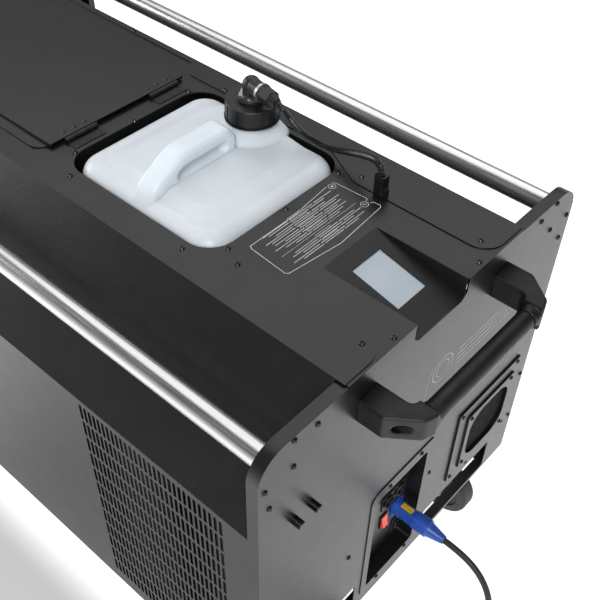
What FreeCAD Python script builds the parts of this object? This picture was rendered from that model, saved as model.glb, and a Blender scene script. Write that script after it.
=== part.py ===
import FreeCAD, Part
import math
import os

V = FreeCAD.Vector

# Compressor-chilled low-fog machine on four casters. All sizes are millimetres.
# Frame: +X is the rear (control) end, +Z is up, the origin is on the floor under the middle.

# ---- driving dimensions -------------------------------------------------------------
half_length = 500.0        # middle to the outer face of an end plate
half_width = 300.0         # middle to the outer face of a side panel
deck_top = 690.0           # top of the side covers' flanges
plate_bottom = 126.0       # lower edge of the end plates
sheet = 2.0                # body sheet thickness
thin = 1.5                 # cover sheet thickness
band_depth = 14.0          # depth of the frame behind each end plate
band_wall = 12.0           # wall of that frame
corner_radius = 38.0       # upper corners of the end plates
deck_half = 168.0          # half width of the flat deck

cover_z = deck_top - thin                  # top of the centre deck, underside of the flanges
plate_top = cover_z - sheet                # the deck rests on the end plates
inner_x = half_length - sheet - band_depth # where the body sheets stop

slope_foot_z = 546.0       # where the sloped cover meets the side panel

rail_y = 270.0
rail_z = 656.0
rail_radius = 14.5

well_x = (-12.0, 259.0)    # can opening in the deck
well_half = 124.0
well_radius = 38.0
well_floor = 300.0

hatch_x = (-430.0, -62.0)  # service hatch opening
hatch_half = 104.0
lid_x = (-446.0, -43.0)
lid_half = 117.0
hinge_x = -39.0
hinge_z = cover_z + 3.8
hinge_spans = ((-96.0, -44.0), (51.0, 103.0))

ramp_x = 366.0             # fold line of the display ramp
ramp_half = 50.0
ramp_drop = 30.0
screen_start = 25.0        # along the ramp from its fold line
screen_long = 70.1
screen_half = 26.3

neck_x = 126.0             # filler neck of the can
neck_y = 86.0
neck_top = 741.0
ring_bottom = 719.0
ring_top = 745.0

outlet_y = 11.0            # axis of the mains inlet and its plug
outlet_z = 247.0
rocker_y = -21.0           # middle of the mains switch, level with the inlet
recess_depth = 21.5

handle_top = 650.0
handle_height = 35.0
handle_outer = 148.0
handle_inner = 112.5
grip_x = 560.0
grip_radius = 12.5

exhaust_y = 191.5
exhaust_z = 301.0

fog_z = 300.0              # axis of the fog outlet
fog_bore = 73.0

caster_x = 416.0
caster_y = 217.0
wheel_radius = 50.0
wheel_trail = 38.0
caster_top = 128.0

conduit_radius = 4.0
cable_radius = 4.5

# ---- helpers ------------------------------------------------------------------------


def box(x0, x1, y0, y1, z0, z1):
    return Part.makeBox(x1 - x0, y1 - y0, z1 - z0, V(x0, y0, z0))


def rod(start, direction, radius, length):
    return Part.makeCylinder(radius, length, V(*start), V(*direction))


def in_yz(x):
    return lambda u, v: V(x, u, v)


def in_xz(y):
    return lambda u, v: V(u, y, v)


def in_xy(z):
    return lambda u, v: V(u, v, z)


def outline(corners, plane):
    """A closed wire through (u, v, radius) corners, each rounded by its radius."""
    count = len(corners)
    trims = []
    for i, (u, v, radius) in enumerate(corners):
        here = V(u, v, 0)
        before = V(corners[i - 1][0], corners[i - 1][1], 0) - here
        after = V(corners[(i + 1) % count][0], corners[(i + 1) % count][1], 0) - here
        if radius == 0:
            trims.append((here, here, here))
            continue
        before.normalize()
        after.normalize()
        half = before.getAngle(after) / 2
        back = radius / math.tan(half)
        middle_way = before + after
        middle_way.normalize()
        centre = here + middle_way * (radius / math.sin(half))
        trims.append((here + before * back, centre - middle_way * radius, here + after * back))
    edges = []
    for i in range(count):
        first, middle, last = (plane(p.x, p.y) for p in trims[i])
        if (first - last).Length > 1e-6:
            edges.append(Part.Arc(first, middle, last).toShape())
        following = trims[(i + 1) % count][0]
        target = plane(following.x, following.y)
        if (target - last).Length > 1e-6:
            edges.append(Part.makeLine(last, target))
    return Part.Wire(edges)


def rectangle(u0, u1, v0, v1, radius=0.0):
    return [(u0, v0, radius), (u1, v0, radius), (u1, v1, radius), (u0, v1, radius)]


def circle(u, v, radius, plane):
    """A round wire made of two half circles in the given plane."""
    east, west = plane(u + radius, v), plane(u - radius, v)
    north, south = plane(u, v + radius), plane(u, v - radius)
    return Part.Wire([Part.Arc(east, north, west).toShape(), Part.Arc(west, south, east).toShape()])


def slab(wires, direction):
    """A flat piece: the first wire is its edge, the others are holes."""
    return Part.makeFace(wires, "Part::FaceMakerBullseye").extrude(V(*direction))


def mirrored_y(shape):
    return shape.mirror(V(0, 0, 0), V(0, 1, 0))


def mirrored_x(shape):
    return shape.mirror(V(0, 0, 0), V(1, 0, 0))


def moved(shape, x, y, z):
    copy = shape.copy()
    copy.translate(V(x, y, z))
    return copy


def rounded(shape, radius, wanted):
    """The shape with those edges rounded whose middle point passes the test."""
    edges = [edge for edge in shape.Edges if wanted(edge.CenterOfMass, edge)]
    return shape.makeFillet(radius, edges)


def save(name, *solids):
    shape = solids[0] if len(solids) == 1 else Part.makeCompound(list(solids))
    shape.exportStep(os.path.join("parts", name + ".step"))


def route_wire(points):
    """Straight runs joined by arcs of 0.45 of the shorter run over the tangent of half the turn."""
    knots = [V(*point) for point in points]
    edges = []
    radii = []
    last = knots[0]
    for i in range(1, len(knots) - 1):
        back = knots[i - 1] - knots[i]
        ahead = knots[i + 1] - knots[i]
        trim = 0.45 * min(back.Length, ahead.Length)
        back.normalize()
        ahead.normalize()
        half = back.getAngle(ahead) / 2
        radii.append(trim * math.tan(half))
        middle_way = back + ahead
        middle_way.normalize()
        reach = trim / math.cos(half)
        entry = knots[i] + back * trim
        leave = knots[i] + ahead * trim
        crown = knots[i] + middle_way * (reach - radii[-1])
        edges.append(Part.makeLine(last, entry))
        edges.append(Part.Arc(entry, crown, leave).toShape())
        last = leave
    edges.append(Part.makeLine(last, knots[-1]))
    return Part.Wire(edges), radii


def tube(name, points, radius):
    wire, radii = route_wire(points)
    start = V(*points[0])
    way = V(*points[1]) - start
    section = Part.Wire([Part.makeCircle(radius, start, way)])
    solid = wire.makePipeShell([section], True, False)
    print(name, "arc radii", [round(r, 1) for r in radii], "length", round(wire.Length, 1))
    print(name, "volume over section times length", round(solid.Volume / (math.pi * radius ** 2 * wire.Length), 4))
    return solid


def along(direction, turn=0.0):
    """Placement whose local Z is the direction, for pieces drawn upright at the origin."""
    rotation = FreeCAD.Rotation(V(0, 0, 1), V(*direction))
    return rotation.multiply(FreeCAD.Rotation(V(0, 0, 1), turn))


def placed(shape, position, direction, turn=0.0):
    copy = shape.copy()
    copy.Placement = FreeCAD.Placement(V(*position), along(direction, turn))
    return copy


def button_screw(position, direction, head=3.9):
    """A button-head screw's head with its hexagon socket."""
    body = Part.makeCone(head, head * 0.62, head * 0.52)
    skirt = Part.makeCylinder(head, 0.35, V(0, 0, -0.35))
    socket_radius = head * 0.36
    corners = [V(socket_radius * math.cos(math.radians(60 * k)),
                 socket_radius * math.sin(math.radians(60 * k)), head * 0.2) for k in range(6)]
    socket = Part.Face(Part.makePolygon(corners + corners[:1])).extrude(V(0, 0, head))
    whole = moved(body.fuse(skirt).removeSplitter(), 0, 0, 0.35).cut(moved(socket, 0, 0, 0.35))
    return placed(whole, position, direction)


def rivet(position, direction=(0, 0, 1)):
    return placed(Part.makeCone(3.3, 2.0, 1.5), position, direction)


os.makedirs("parts", exist_ok=True)

# ---- end plates and their frames -----------------------------------------------------

plate_corners = [(-half_width, plate_bottom, 3.0), (half_width, plate_bottom, 3.0),
                 (half_width, plate_top, corner_radius)]
notch = [(ramp_half + 1, plate_top, 0), (ramp_half + 1, plate_top - 20, 0),
         (ramp_half - 8, plate_top - ramp_drop + 2, 0)]
notch_mirror = [(-u, v, r) for u, v, r in reversed(notch)]
hand_holes = (rectangle(58, 237, 133, 197, 4), rectangle(-237, -106, 133, 197, 4))
module_hole = rectangle(-82, 33, 161, 384, 8)


def rear_end_plate():
    plane = in_yz(half_length - sheet)
    edge = plate_corners + notch + notch_mirror + [(-half_width, plate_top, corner_radius)]
    holes = [outline(corners, plane) for corners in hand_holes]
    holes.append(outline(module_hole, plane))
    holes.append(outline(rectangle(exhaust_y - 57, exhaust_y + 57, exhaust_z - 57, exhaust_z + 57, 30), plane))
    return slab([outline(edge, plane)] + holes, (sheet, 0, 0))


def front_end_plate():
    plane = in_yz(-half_length)
    edge = plate_corners + [(-half_width, plate_top, corner_radius)]
    return slab([outline(edge, plane), circle(0, fog_z, fog_bore + 2, plane)], (sheet, 0, 0))


def end_frame_bars(side):
    """Four straight bars and four corner pieces that make one welded frame."""
    x0 = inner_x if side > 0 else -half_length + sheet
    plane = in_yz(x0)
    depth = (band_depth, 0, 0)
    span = half_width - corner_radius
    top_flat = plate_top - corner_radius
    bars = [
        slab([outline(rectangle(-half_width, -half_width + band_wall, plate_bottom + band_wall, top_flat), plane)], depth),
        slab([outline(rectangle(half_width - band_wall, half_width, plate_bottom + band_wall, top_flat), plane)], depth),
        slab([outline(rectangle(-half_width, half_width, plate_bottom, plate_bottom + 6), plane)], depth),
    ]
    for y in (-half_width, half_width - band_wall):
        bars.append(slab([outline(rectangle(y, y + band_wall, plate_bottom + 6, plate_bottom + band_wall), plane)], depth))
    for y0, y1 in ((-span, -ramp_half - 4), (ramp_half + 4, span)):
        bars.append(slab([outline(rectangle(y0, y1, plate_top - band_wall, plate_top), plane)], depth))
    for sign in (-1, 1):
        quarter = Part.makeCylinder(corner_radius, band_depth, V(x0, sign * span, top_flat), V(1, 0, 0))
        quarter = quarter.cut(Part.makeCylinder(corner_radius - band_wall, band_depth,
                                                V(x0, sign * span, top_flat), V(1, 0, 0)))
        y0, y1 = (span, half_width) if sign > 0 else (-half_width, -span)
        bars.append(quarter.common(box(x0, x0 + band_depth, y0, y1, top_flat, plate_top)))
    return bars


save("rear_end_plate", rear_end_plate())
save("front_end_plate", front_end_plate())
save("end_frames", *(end_frame_bars(-1) + end_frame_bars(1)))

# ---- base tray ------------------------------------------------------------------------


def base_tray():
    """Bottom sheet, set back behind the rear hand holes, with an upturned lip there."""
    setback = 100.0
    plane = in_xy(plate_bottom + 2)
    x1 = inner_x
    rear = [(x1, -298), (x1, -242), (x1 - setback, -242), (x1 - setback, 242), (x1, 242), (x1, 298)]
    corners = [(x, y, 0) for x, y in rear + [(-x1, 298), (-x1, -298)]]
    floor = slab([outline(corners, plane)], (0, 0, 3))
    wall = box(x1 - setback - thin, x1 - setback, -242, 242, plate_bottom + 5, plate_bottom + 32)
    return floor.fuse(wall).removeSplitter()


save("base_tray", base_tray())

# ---- deck, covers and side panels -------------------------------------------------------


def centre_deck():
    plane = in_xy(cover_z - sheet)
    edge = [(-half_length, -deck_half + 2, 0), (half_length, -deck_half + 2, 0),
            (half_length, -ramp_half, 0), (ramp_x, -ramp_half, 0), (ramp_x, ramp_half, 0),
            (half_length, ramp_half, 0), (half_length, deck_half - 2, 0), (-half_length, deck_half - 2, 0)]
    well = rectangle(well_x[0], well_x[1], -well_half, well_half, well_radius)
    hatch = rectangle(hatch_x[0], hatch_x[1], -hatch_half, hatch_half, 8)
    return slab([outline(c, plane) for c in (edge, well, hatch)], (0, 0, sheet))


def cover_flange_edge():
    """Inner edge of a side cover's top flange, from the front to the rear."""
    return [(-inner_x, 158, 0), (-66, 158, 6), (-49, 133, 18), (222, 133, 40), (290, 98, 40),
            (inner_x + 12, 98, 30), (inner_x + 12, deck_half, 0)]


def sloped_cover():
    """Top flange, slope and short foot of the right-hand cover, as one folded sheet."""
    inner = cover_flange_edge()
    edge = [(-inner_x, deck_half, 0)] + inner
    flange = slab([outline(edge, in_xy(cover_z))], (0, 0, thin))
    rise = deck_top - slope_foot_z
    run = half_width - 1 - deck_half
    length = math.hypot(rise, run)
    off_y, off_z = thin * rise / length, thin * run / length
    profile = [(deck_half, deck_top, 0), (half_width - 1, slope_foot_z, 0),
               (half_width - 1 - thin, slope_foot_z, 0), (half_width - 1 - thin, slope_foot_z + off_z, 0),
               (deck_half - off_y, deck_top - thin, 0)]
    slope = slab([outline(profile, in_yz(-inner_x))], (2 * inner_x, 0, 0))
    return flange.fuse(slope).removeSplitter()


grille_x = 208.0
grille_pitch = 8.12
grille_columns = 30
grille_top = 537.0
grille_row = 32.4
grille_rows = 12
slot_width = 5.0
slot_height = 27.5


def side_panel():
    """Flat side with a field of upright slots in front of the condenser."""
    plane = in_xz(half_width - thin)
    wires = [outline(rectangle(-inner_x, inner_x, plate_bottom, slope_foot_z), plane)]
    for row in range(grille_rows):
        top = grille_top - row * grille_row
        for column in range(grille_columns):
            u = grille_x + column * grille_pitch
            wires.append(outline(rectangle(u - slot_width / 2, u + slot_width / 2, top - slot_height, top, 2.2), plane))
    return slab(wires, (0, thin, 0))


right_cover = sloped_cover()
right_panel = side_panel()
save("centre_deck", centre_deck())
save("right_sloped_cover", right_cover)
save("left_sloped_cover", mirrored_y(right_cover))
save("right_side_panel", right_panel)
save("left_side_panel", mirrored_y(right_panel))


def side_rail(y):
    outer = rod((-inner_x, y, rail_z), (1, 0, 0), rail_radius, 2 * inner_x)
    return outer.cut(rod((-inner_x, y, rail_z), (1, 0, 0), rail_radius - 2, 2 * inner_x))


save("side_rails", side_rail(-rail_y), side_rail(rail_y))

# ---- service hatch ----------------------------------------------------------------------


def lid_frame():
    plane = in_xy(cover_z)
    edge = [(-460, -133, 20), (-49, -133, 20), (-49, 133, 20), (-460, 133, 20)]
    opening = rectangle(hatch_x[0], hatch_x[1], -hatch_half, hatch_half, 8)
    return slab([outline(edge, plane), outline(opening, plane)], (0, 0, 1.8))


def lid():
    low = cover_z + 2.2
    high = cover_z + 6.8
    shell = box(lid_x[0], lid_x[1], -lid_half, lid_half, low, high)
    hollow = box(lid_x[0] + thin, lid_x[1] + 1, -lid_half + thin, lid_half - thin, low - 1, high - thin)
    return rounded(shell, 1.2, lambda c, e: c.z > high - 0.1).cut(hollow)


def knuckle(y0, y1, bore):
    barrel = rod((hinge_x, y0, hinge_z), (0, 1, 0), 3.5, y1 - y0)
    return barrel.cut(rod((hinge_x, y0, hinge_z), (0, 1, 0), bore, y1 - y0))


def hinge(span):
    """Deck leaf with two knuckles, lid leaf with one, the pin and three rivets on each leaf."""
    y0, y1 = span
    third = (y1 - y0) / 3
    deck_leaf = box(hinge_x, hinge_x + 20, y0, y1, cover_z, cover_z + 1)
    deck_leaf = deck_leaf.cut(box(hinge_x - 1, hinge_x + 4.2, y0 + third, y1 - third, cover_z - 1, cover_z + 9))
    bore_way = rod((hinge_x, y0, hinge_z), (0, 1, 0), 1.5, y1 - y0)
    for a, b in ((y0, y0 + third), (y1 - third, y1)):
        deck_leaf = deck_leaf.fuse(knuckle(a, b, 1.5))
    deck_leaf = deck_leaf.cut(bore_way).removeSplitter()
    under = cover_z + 6.8 - thin
    lid_leaf = box(hinge_x - 22, hinge_x, y0 + third + 0.4, y1 - third - 0.4, under - 1, under)
    lid_leaf = lid_leaf.fuse(box(hinge_x - 22, hinge_x - 6, y0, y1, under - 1, under))
    lid_leaf = lid_leaf.fuse(knuckle(y0 + third + 0.4, y1 - third - 0.4, 1.56))
    lid_leaf = lid_leaf.cut(rod((hinge_x, y0, hinge_z), (0, 1, 0), 1.56, y1 - y0)).removeSplitter()
    pin = rod((hinge_x, y0, hinge_z), (0, 1, 0), 1.5, y1 - y0)
    ys = [y0 + third * (k + 0.5) for k in range(3)]
    deck_rivets = [rivet((hinge_x + 14, y, cover_z + 1)) for y in ys]
    lid_rivets = [rivet((hinge_x - 14, y, cover_z + 6.8)) for y in ys]
    return [deck_leaf, pin] + deck_rivets, [lid_leaf] + lid_rivets


deck_side = []
lid_side = []
for hinge_span in hinge_spans:
    fixed_half, moving_half = hinge(hinge_span)
    deck_side += fixed_half
    lid_side += moving_half
save("lid_frame", lid_frame())
save("lid", lid())
save("lid_hinges", *deck_side)
save("lid_hinge_leaves", *lid_side)

# ---- display ramp ------------------------------------------------------------------------

ramp_run = half_length - ramp_x
ramp_angle = math.atan2(ramp_drop, ramp_run)


def on_ramp(distance, lift=0.0):
    """Point on the ramp's upper face, by distance from the fold line and height off the face."""
    x = ramp_x + distance * math.cos(ramp_angle) + lift * math.sin(ramp_angle)
    z = cover_z - distance * math.sin(ramp_angle) + lift * math.cos(ramp_angle)
    return x, z


def ramp_block(s0, s1, y0, y1, h0, h1):
    corners = [on_ramp(s0, h0), on_ramp(s1, h0), on_ramp(s1, h1), on_ramp(s0, h1)]
    return slab([outline([(x, z, 0) for x, z in corners], in_xz(y0))], (0, y1 - y0, 0))


def display_ramp():
    length = math.hypot(ramp_run, ramp_drop)
    floor = ramp_block(0, length, -ramp_half, ramp_half, -thin, 0)
    floor = floor.cut(ramp_block(screen_start, screen_start + screen_long, -screen_half, screen_half, -5, 5))
    shape = floor
    for y0, y1 in ((-ramp_half, -ramp_half + thin), (ramp_half - thin, ramp_half)):
        cheek = [(ramp_x, cover_z, 0), (half_length, cover_z, 0), (half_length, cover_z - ramp_drop, 0)]
        shape = shape.fuse(slab([outline(cheek, in_xz(y0))], (0, y1 - y0, 0)))
    between = box(ramp_x, half_length - sheet, -60, 60, 600, 700)
    return shape.common(between).removeSplitter()


save("display_ramp", display_ramp())
save("display_screen", ramp_block(screen_start - 3, screen_start + screen_long + 3,
                                  -screen_half - 3, screen_half + 3, -8, -thin))

# ---- can well and can ----------------------------------------------------------------------


def can_well():
    """Five plates of an open box that holds the can."""
    x0, x1 = well_x[0] - 5, well_x[1] + 5
    y1 = well_half + 5
    top = cover_z - sheet
    return [
        box(x0, x1, -y1, y1, well_floor, well_floor + thin),
        box(x0, x0 + thin, -y1, y1, well_floor + thin, top),
        box(x1 - thin, x1, -y1, y1, well_floor + thin, top),
        box(x0 + thin, x1 - thin, -y1, -y1 + thin, well_floor + thin, top),
        box(x0 + thin, x1 - thin, y1 - thin, y1, well_floor + thin, top),
    ]


can_x = (-1.0, 255.0)
can_half = 121.0
can_top = 694.0
can_wall = 2.5


def can_shell(inset):
    x0, x1 = can_x[0] + inset, can_x[1] - inset
    y1 = can_half - inset
    z0, z1 = well_floor + thin + inset, can_top - inset
    block = box(x0, x1, -y1, y1, z0, z1)
    block = rounded(block, 36 - inset, lambda c, e: abs(e.tangentAt(e.FirstParameter).z) > 0.9)
    block = rounded(block, 24 - inset, lambda c, e: c.z > z1 - 0.1)
    return rounded(block, 12 - inset, lambda c, e: c.z < z0 + 0.1)


crown_height = 6.0         # how far the middle of the can's top stands above its rim


def can_crown(inset):
    """The swelling of the can's top towards its middle."""
    low = outline(rectangle(can_x[0] + 12, can_x[1] - 12, -can_half + 12, can_half - 12, 28),
                  in_xy(can_top - 5 - inset))
    high = outline(rectangle(neck_x - 80, neck_x + 80, -80, 104, 34), in_xy(can_top + crown_height - inset))
    return Part.makeLoft([low, high], True, True)


def can_handle():
    """Arched grip moulded across the can's top, with a finger hole under it."""
    plane = in_yz(neck_x - 18)
    arch = [(-118, can_top - 14, 0), (42, can_top - 14, 0), (42, can_top + 25, 12), (28, can_top + 42, 12),
            (-52, can_top + 43, 45), (-101, can_top + 14, 45)]
    grip = slab([outline(arch, plane)], (34, 0, 0))
    grip = rounded(grip, 8, lambda c, e: c.z > can_top + 5 and abs(e.tangentAt(e.FirstParameter).x) < 0.5)
    base, roof = can_top + crown_height + 1, can_top + 25
    hole = [(-84, base, 7), (28, base, 7), (22, roof, 9), (-50, roof, 26)]
    return grip, slab([outline(hole, in_yz(neck_x - 60))], (120, 0, 0))


def jerry_can():
    grip, finger = can_handle()
    neck = rod((neck_x, neck_y, can_top - 8), (0, 0, 1), 30, neck_top - can_top + 8)
    lower = Part.makeCone(50, 38, 9, V(neck_x, neck_y, can_top + 3), V(0, 0, 1))
    upper = Part.makeCone(38, 31, 5, V(neck_x, neck_y, can_top + 12), V(0, 0, 1))
    within = box(can_x[0] + 2, can_x[1] - 2, -can_half + 2, can_half - 2, can_top - 20, ring_bottom)
    shoulder = lower.fuse(upper).common(within)
    ring_room = rod((neck_x, neck_y, ring_bottom - 1), (0, 0, 1), 38, 40)
    body = can_shell(0).fuse([can_crown(0), grip.cut(finger).cut(ring_room), neck, shoulder])
    mouth = rod((neck_x, neck_y, can_top - 10), (0, 0, 1), 26, neck_top)
    return body.cut(can_shell(can_wall).fuse(can_crown(can_wall))).cut(mouth).removeSplitter()


save("can_well", *can_well())
save("jerry_can", jerry_can())

# ---- cap and suction fitting -----------------------------------------------------------------


def cap_ring():
    outer = rod((neck_x, neck_y, ring_bottom), (0, 0, 1), 35.2, ring_top - ring_bottom)
    outer = rounded(outer, 2, lambda c, e: c.z > ring_top - 0.1)
    ribs = [rod((neck_x, neck_y, ring_bottom), (0, 0, 1), 37, 2.4)]
    for k in range(12):
        rib = box(34, 36, -0.7, 0.7, 0, ring_top - ring_bottom - 1.5)
        rib.rotate(V(0, 0, 0), V(0, 0, 1), k * 30 + 9)
        ribs.append(moved(rib, neck_x, neck_y, ring_bottom))
    bore = rod((neck_x, neck_y, ring_bottom - 1), (0, 0, 1), 30.4, neck_top - ring_bottom + 1.4)
    window = rod((neck_x, neck_y, ring_bottom), (0, 0, 1), 24.3, 40)
    return outer.fuse(ribs).cut(bore).cut(window).removeSplitter()


def cap_insert():
    flange = rod((neck_x, neck_y, neck_top), (0, 0, 1), 24, ring_top - neck_top)
    seat = Part.makeCylinder(29, 0.1, V(neck_x, neck_y, neck_top))
    step = rod((neck_x, neck_y, ring_top), (0, 0, 1), 20, 3)
    body = flange.fuse([seat, step])
    return body.cut(rod((neck_x, neck_y, neck_top - 1), (0, 0, 1), 5.2, 20)).removeSplitter()


nut_z = ring_top + 3
elbow_centre = (neck_x, neck_y, 766.0)
fitting_turn = math.radians(-11.4)
fitting_way = (math.cos(fitting_turn), math.sin(fitting_turn), 0)


def at_fitting(distance):
    return tuple(elbow_centre[k] + fitting_way[k] * distance for k in range(3))


def hexagon(radius, height):
    corners = [V(radius * math.cos(math.radians(60 * k)), radius * math.sin(math.radians(60 * k)), 0)
               for k in range(7)]
    return Part.Face(Part.makePolygon(corners)).extrude(V(0, 0, height))


def lock_nuts():
    nut = moved(hexagon(18, 6), neck_x, neck_y, nut_z)
    nut = nut.common(Part.makeCone(19.5, 16.2, 8, V(neck_x, neck_y, nut_z)))
    nut = nut.cut(rod((neck_x, neck_y, nut_z), (0, 0, 1), 8.5, 10))
    ring = placed(Part.makeCylinder(12.6, 4), at_fitting(22), fitting_way)
    ring = ring.cut(placed(Part.makeCylinder(8, 4), at_fitting(22), fitting_way))
    return nut, ring


def suction_elbow():
    stem = rod((neck_x, neck_y, nut_z), (0, 0, 1), 8.5, 19)
    stem = stem.cut(rod((neck_x, neck_y, nut_z), (0, 0, 1), 5.2, 19))
    collar = moved(hexagon(12.5, 9), neck_x, neck_y, nut_z + 6)
    knee = Part.makeSphere(12, V(*elbow_centre))
    arm = placed(Part.makeCylinder(11, 22), at_fitting(0), fitting_way)
    spigot = placed(Part.makeCylinder(7.8, 10), at_fitting(20), fitting_way)
    return collar.fuse([knee, arm, spigot]).cut(Part.makeCylinder(8.5, 40, V(neck_x, neck_y, 720))).fuse(stem)


def gland_nut():
    grip = placed(hexagon(12, 20), at_fitting(26), fitting_way)
    grip = grip.common(placed(Part.makeCylinder(11.4, 20), at_fitting(26), fitting_way))
    nose = placed(Part.makeCone(10, 6, 10), at_fitting(46), fitting_way)
    bore = placed(Part.makeCylinder(7.8, 5), at_fitting(25), fitting_way)
    return grip.fuse(nose).cut(bore).removeSplitter()


def pickup_tube():
    pipe = rod((neck_x, neck_y, 318), (0, 0, 1), 5, 437)
    pipe = pipe.cut(rod((neck_x, neck_y, 318), (0, 0, 1), 3.5, 437))
    weight = rod((neck_x, neck_y, 308), (0, 0, 1), 10, 26)
    weight = rounded(weight, 3, lambda c, e: True)
    weight = weight.cut(rod((neck_x, neck_y, 318), (0, 0, 1), 5, 40))
    return pipe, weight


save("cap_ring", cap_ring())
save("cap_insert", cap_insert())
save("lock_nuts", *lock_nuts())
save("suction_elbow", suction_elbow())
save("gland_nut", gland_nut())
save("pickup_tube", *pickup_tube())

clip_top = 718.0
conduit_route = [at_fitting(56), (190.5, 73, 765), (197, 76.5, 755), (199.5, 84.5, 741), (203, 94.5, 727),
                 (210, 104.5, 714), (222, 113, 706), (238.5, 117.7, 704.5), (259, 119.5, 709.5), (281, 117, 718),
                 (300, 112.3, 725.5), (315, 108, 730), (326, 104.3, 727.5), (330, 103, clip_top)]
save("conduit", tube("conduit", conduit_route, conduit_radius))


def deck_clip():
    post = box(322.5, 337.5, 95.5, 110.5, deck_top, clip_top)
    post = rounded(post, 3, lambda c, e: abs(e.tangentAt(e.FirstParameter).z) > 0.9)
    tab = box(337, 342, 97, 104, deck_top, deck_top + 12)
    groove = box(320, 340, 94, 97, clip_top - 9, clip_top - 6.5)
    return post.fuse(tab).cut(groove).removeSplitter()


save("deck_clip", deck_clip())

# ---- handles ---------------------------------------------------------------------------------


def handle_bracket():
    """Rear right-hand arm: square block with a cut corner, a round stub and a bolt bore."""
    z0 = handle_top - handle_height
    reach = grip_x + 13.5
    near = grip_x - 13.5
    corners = [(half_length, handle_inner, 0), (half_length, handle_outer, 0), (533.5, handle_outer, 4),
               (568.5, 121.4, 12), (reach, 106, 3), (reach, 103, 0), (near, 103, 0), (near, handle_inner, 9)]
    block = slab([outline(corners, in_xy(z0))], (0, 0, handle_height))
    block = rounded(block, 3, lambda c, e: abs(e.tangentAt(e.FirstParameter).z) < 0.1
                    and half_length + 1 < c.x and c.y > 104 and e.Length > 8)
    axis_z = z0 + handle_height / 2
    stub = rod((grip_x, 92, axis_z), (0, 1, 0), grip_radius + 1, 14)
    collar = Part.makeCone(grip_radius + 1, 16, 7, V(grip_x, 97, axis_z), V(0, 1, 0))
    stub = stub.fuse(collar.common(box(grip_x - 13.5, grip_x + 13.5, 90, 110, z0, handle_top)))
    bore = rod((half_length + 12, 134.7, axis_z), (1, 0, 0), 7.5, 80)
    return block.fuse(stub).cut(bore).removeSplitter()


def handle_bolt():
    axis_z = handle_top - handle_height / 2
    head = rod((half_length + 12, 134.7, axis_z), (1, 0, 0), 6.3, 8)
    socket = moved(hexagon(3.4, 6), 0, 0, 0)
    return head.cut(placed(socket, (half_length + 15, 134.7, axis_z), (1, 0, 0)))


bracket = handle_bracket()
rear_pair = [bracket, mirrored_y(bracket)]
save("handle_brackets", *(rear_pair + [mirrored_x(arm) for arm in rear_pair]))
grip_bar = rod((grip_x, -92, handle_top - handle_height / 2), (0, 1, 0), grip_radius, 184)
save("grip_bars", grip_bar, mirrored_x(grip_bar))

# ---- exhaust fan on the rear plate --------------------------------------------------------------

outer_square = 80.0
outer_shift = (-4.0, 2.5)  # the outer plate sits off the fan's axis
inner_square = 61.0
step_depth = 3.0


def exhaust_plate(half, x0, opening, radius, shift=(0, 0)):
    plane = in_yz(x0)
    y, z = exhaust_y + shift[0], exhaust_z + shift[1]
    return slab([outline(rectangle(y - half, y + half, z - half, z + half, 3), plane),
                 outline(rectangle(exhaust_y - opening, exhaust_y + opening,
                                   exhaust_z - opening, exhaust_z + opening, radius), plane)],
                (step_depth, 0, 0))


def fan_housing():
    """Square fan frame, and the thin filter mat in the plate's opening in front of it."""
    plane = in_yz(half_length - sheet - 25)
    square = outline(rectangle(exhaust_y - 60, exhaust_y + 60, exhaust_z - 60, exhaust_z + 60, 5), plane)
    mat = outline(rectangle(exhaust_y - 57, exhaust_y + 57, exhaust_z - 57, exhaust_z + 57, 30),
                  in_yz(half_length - sheet))
    return slab([square, circle(exhaust_y, exhaust_z, 57, plane)], (25, 0, 0)), slab([mat], (sheet, 0, 0))


def rotor(radius, hub, depth, blades, lean):
    """Hub with evenly spaced leaning blades, drawn upright at the origin."""
    shape = Part.makeCylinder(hub, depth)
    for k in range(blades):
        blade = box(hub - 3, radius, -1, 1, 1.5, depth - 1.5)
        blade.rotate(V(0, 0, depth / 2), V(1, 0, 0), lean)
        blade.rotate(V(0, 0, 0), V(0, 0, 1), k * 360 / blades)
        shape = shape.fuse(blade)
    return shape.common(Part.makeCylinder(radius, depth)).removeSplitter()


save("exhaust_outer_plate", exhaust_plate(outer_square, half_length, 55, 30, outer_shift))
save("exhaust_inner_plate", exhaust_plate(inner_square, half_length + step_depth, 51, 32))
save("exhaust_fan_housing", *fan_housing())
save("exhaust_fan_rotor", placed(rotor(54, 20, 18, 7, 38), (half_length - sheet - 22, exhaust_y, exhaust_z), (1, 0, 0)))

# ---- connector module ------------------------------------------------------------------------------


def connector_tray():
    """Pan with a flange on the rear plate and a recessed panel for the connectors."""
    plane = in_yz(half_length)
    recess = rectangle(-80, 31, 163, 382, 6)
    flange = slab([outline([(-92, 150, 6), (44, 150, 6), (44, 402, 6), (-92, 402, 17)], plane),
                   outline(recess, plane)], (thin, 0, 0))
    back_x = half_length - recess_depth
    wall_plane = in_yz(back_x - thin)
    outer = rectangle(-81.5, 32.5, 161.5, 383.5, 7)
    walls = slab([outline(outer, wall_plane), outline(recess, wall_plane)], (recess_depth + thin, 0, 0))
    window = rectangle(rocker_y - 6, rocker_y + 6, outlet_z - 12, outlet_z + 12)
    panel = slab([outline(recess, wall_plane), outline(window, wall_plane)], (thin, 0, 0))
    return flange.fuse([walls, panel]).removeSplitter()


panel_x = half_length - recess_depth


def panel_socket(y, z):
    """Round signal socket on its 26 by 31 flange."""
    plate = box(panel_x, panel_x + 2, y - 12.8, y + 12.8, z - 15.5, z + 15.5)
    rim = rod((panel_x, y, z), (1, 0, 0), 11.2, 5)
    hollow = rod((panel_x + 1.5, y, z), (1, 0, 0), 9.2, 5)
    return plate.fuse(rim).cut(hollow).removeSplitter()


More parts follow.
